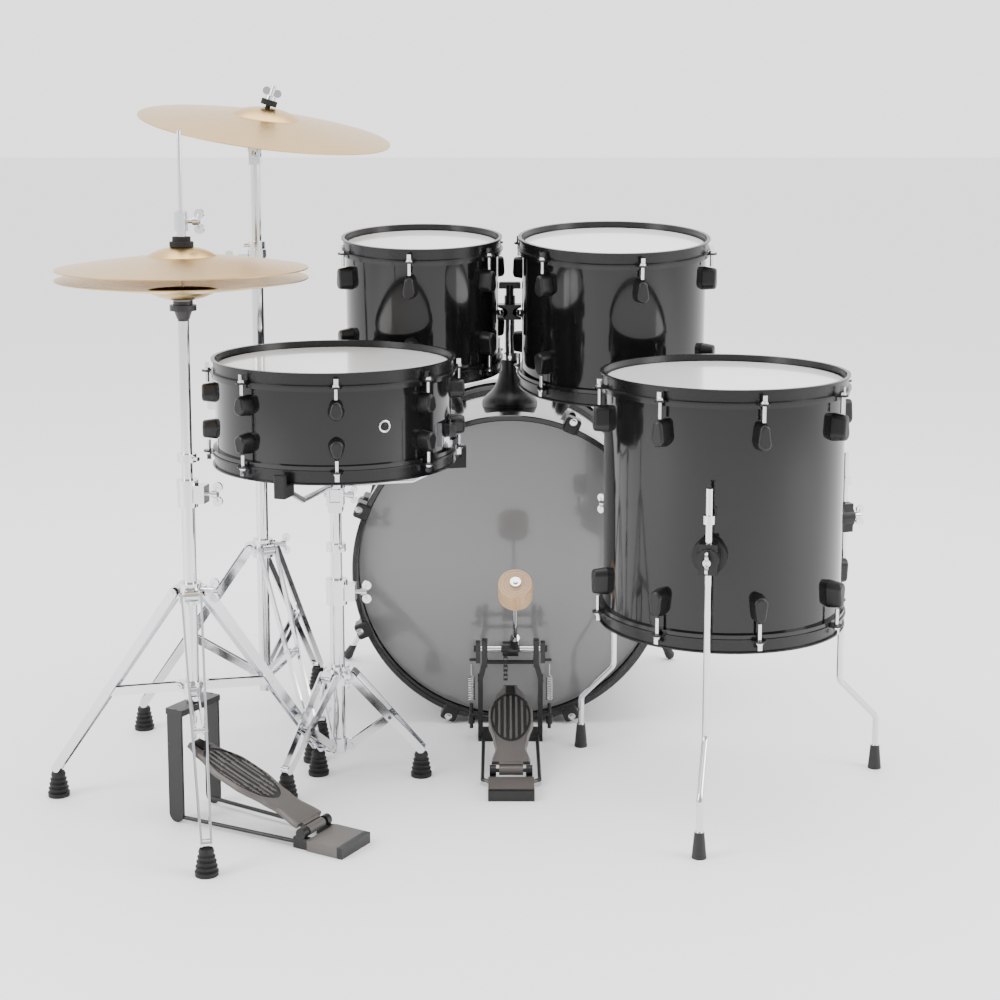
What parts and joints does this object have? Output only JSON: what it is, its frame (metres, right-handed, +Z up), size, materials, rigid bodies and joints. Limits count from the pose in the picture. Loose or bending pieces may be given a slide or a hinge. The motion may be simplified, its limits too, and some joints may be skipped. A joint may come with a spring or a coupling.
{
  "type": "acoustic drum kit",
  "caption": "Acoustic drum kit with bass drum, rack toms, floor tom, snare on a basket stand, pedal hi-hat, tilting crash cymbal and a chain-drive bass pedal.",
  "frame": {"origin": "on the floor under the middle of the whole kit's box", "axes": "+X to the seated player's right, +Y away from the player along the bass drum's axis, +Z up"},
  "size_m": [1.2855, 1.0393, 1.066],
  "materials": {
    "drum_shell": "black high-gloss lacquer wrap",
    "black_hoop": "black powder coat, satin",
    "bass_hoop": "black gloss lacquer",
    "black_casting": "satin black moulding",
    "chrome": "polished chrome plate",
    "batter_film": "smooth white drumhead film",
    "bass_film": "smoky grey drumhead film",
    "cymbal_alloy": "lathed pale gold cymbal alloy",
    "rubber": "ribbed black rubber",
    "footboard_metal": "taupe grey satin casting",
    "pedal_black": "black painted steel",
    "beater_wood": "sealed light wood",
    "spring_steel": "bright spring steel"
  },
  "bodies": {
    "kit_base": {"bass_shell": "drum_shell", "bass_heads": "bass_film", "bass_hoops": "bass_hoop", "bass_lugs_and_claws": "black_casting", "bass_rods": "chrome", "bass_brackets": "black_casting", "floor_tom_shell": "drum_shell", "floor_tom_heads": "batter_film", "floor_tom_hoops": "black_hoop", "floor_tom_lugs": "black_casting", "floor_tom_rods": "chrome", "floor_tom_brackets": "black_casting", "rubber_feet": "rubber", "snare_stand_base": "chrome", "hihat_base": "chrome", "hihat_pedal_frame": "pedal_black", "crash_base": "chrome", "pedal_frame": "pedal_black", "pedal_springs": "spring_steel"},
    "spur_left": {"left_spur": "chrome"},
    "spur_right": {"right_spur": "chrome"},
    "tom_post": {"tom_post": "chrome"},
    "left_tom": {"left_tom_arm": "chrome", "left_tom_shell": "drum_shell", "left_tom_heads": "batter_film", "left_tom_hoops": "black_hoop", "left_tom_lugs": "black_casting", "left_tom_rods": "chrome"},
    "right_tom": {"right_tom_arm": "chrome", "right_tom_shell": "drum_shell", "right_tom_heads": "batter_film", "right_tom_hoops": "black_hoop", "right_tom_lugs": "black_casting", "right_tom_rods": "chrome"},
    "floor_leg_1": {"floor_tom_leg_1": "chrome"},
    "floor_leg_2": {"floor_tom_leg_2": "chrome"},
    "floor_leg_3": {"floor_tom_leg_3": "chrome"},
    "snare_tube": {"snare_stand_tube": "chrome"},
    "snare": {"snare_basket": "chrome", "snare_basket_tips": "rubber", "snare_shell": "drum_shell", "snare_heads": "batter_film", "snare_hoops": "black_hoop", "snare_lugs": "black_casting", "snare_rods": "chrome", "snare_strainer": "chrome"},
    "snare_throw": {"snare_lever": "chrome"},
    "hihat_upper": {"hihat_upper_tube": "chrome", "hihat_bottom_cymbal": "cymbal_alloy"},
    "hihat_rod": {"hihat_pull_rod": "chrome"},
    "hihat_top": {"hihat_clutch": "chrome", "hihat_top_cymbal": "cymbal_alloy"},
    "hihat_board": {"hihat_footboard": "footboard_metal"},
    "crash_tube": {"crash_upper_tube": "chrome"},
    "crash_tilt": {"crash_tilter": "chrome"},
    "crash_plate": {"crash_cymbal": "cymbal_alloy"},
    "pedal_board": {"pedal_footboard": "footboard_metal"},
    "beater": {"pedal_axle": "chrome", "pedal_beater": "beater_wood", "pedal_chain": "pedal_black"}
  },
  "joints": [
    {"name": "left_spur_fold", "type": "hinge", "parent": "kit_base", "child": "spur_left", "pos_m": [-0.18205, 0.425, 0.125], "axis": [0.866, 0, 0.5], "range_deg": [0, 100]},
    {"name": "right_spur_fold", "type": "hinge", "parent": "kit_base", "child": "spur_right", "pos_m": [0.29946, 0.425, 0.125], "axis": [0.866, 0, -0.5], "range_deg": [0, 100]},
    {"name": "tom_post_height", "type": "slide", "parent": "kit_base", "child": "tom_post", "axis": [0, 0, 1], "range_m": [0, 0.06]},
    {"name": "left_tom_tilt", "type": "hinge", "parent": "tom_post", "child": "left_tom", "pos_m": [0.04121, 0.28765, 0.678], "axis": [1, 0, 0], "range_deg": [-5, 8]},
    {"name": "right_tom_tilt", "type": "hinge", "parent": "tom_post", "child": "right_tom", "pos_m": [0.07674, 0.28841, 0.678], "axis": [1, 0, 0], "range_deg": [-5, 8]},
    {"name": "floor_leg_1_height", "type": "slide", "parent": "kit_base", "child": "floor_leg_1", "axis": [0, 0, 1], "range_m": [-0.025, 0.1]},
    {"name": "floor_leg_2_height", "type": "slide", "parent": "kit_base", "child": "floor_leg_2", "axis": [0, 0, 1], "range_m": [-0.025, 0.1]},
    {"name": "floor_leg_3_height", "type": "slide", "parent": "kit_base", "child": "floor_leg_3", "axis": [0, 0, 1], "range_m": [-0.025, 0.1]},
    {"name": "snare_height", "type": "slide", "parent": "kit_base", "child": "snare_tube", "axis": [0, 0, 1], "range_m": [-0.03, 0.05]},
    {"name": "snare_tilt", "type": "hinge", "parent": "snare_tube", "child": "snare", "pos_m": [-0.2103, -0.118, 0.444], "axis": [1, 0, 0], "range_deg": [0, 5]},
    {"name": "snare_throw_off", "type": "hinge", "parent": "snare", "child": "snare_throw", "pos_m": [-0.40236, -0.06293, 0.59215], "axis": [-0.2756, -0.9613, 0], "range_deg": [0, 60]},
    {"name": "hihat_height", "type": "slide", "parent": "kit_base", "child": "hihat_upper", "axis": [0, 0, 1], "range_m": [-0.015, 0.08]},
    {"name": "hihat_pedal", "type": "hinge", "parent": "kit_base", "child": "hihat_board", "pos_m": [-0.2221, -0.3885, 0.022], "axis": [-0.5, -0.866, 0], "range_deg": [0, 3], "stiffness_Nm_per_rad": 40, "springref_deg": -3.44},
    {"name": "hihat_rod_travel", "type": "slide", "parent": "kit_base", "child": "hihat_rod", "axis": [0, 0, -1], "range_m": [0, 0.012]},
    {"name": "hihat_clutch_height", "type": "slide", "parent": "hihat_rod", "child": "hihat_top", "axis": [0, 0, 1], "range_m": [-0.015, 0.08]},
    {"name": "crash_height", "type": "slide", "parent": "kit_base", "child": "crash_tube", "axis": [0, 0, 1], "range_m": [0, 0.15]},
    {"name": "crash_tilt_angle", "type": "hinge", "parent": "crash_tube", "child": "crash_tilt", "pos_m": [-0.3533, 0.109, 0.964], "axis": [0, 1, 0], "range_deg": [-30, 20]},
    {"name": "crash_swing", "type": "hinge", "parent": "crash_tilt", "child": "crash_plate", "pos_m": [-0.3326, 0.109, 1.02772], "axis": [0, 1, 0], "range_deg": [-4, 4]},
    {"name": "bass_pedal", "type": "hinge", "parent": "kit_base", "child": "pedal_board", "pos_m": [0.0587, -0.168, 0.022], "axis": [-1, 0, 0], "range_deg": [0, 7.8], "stiffness_Nm_per_rad": 12, "springref_deg": -8.59},
    {"name": "beater_swing", "type": "hinge", "parent": "kit_base", "child": "beater", "pos_m": [0.0587, 0.029, 0.155], "axis": [-1, 0, 0], "range_deg": [0, 64], "deforming": ["pedal_springs"]}
  ],
  "couplings": [
    {"joint": "hihat_rod_travel", "follows": "hihat_pedal", "m_per_rad": 0.217},
    {"joint": "hihat_clutch_height", "follows": "hihat_height", "ratio": 1},
    {"joint": "beater_swing", "follows": "bass_pedal", "ratio": 8.2}
  ]
}
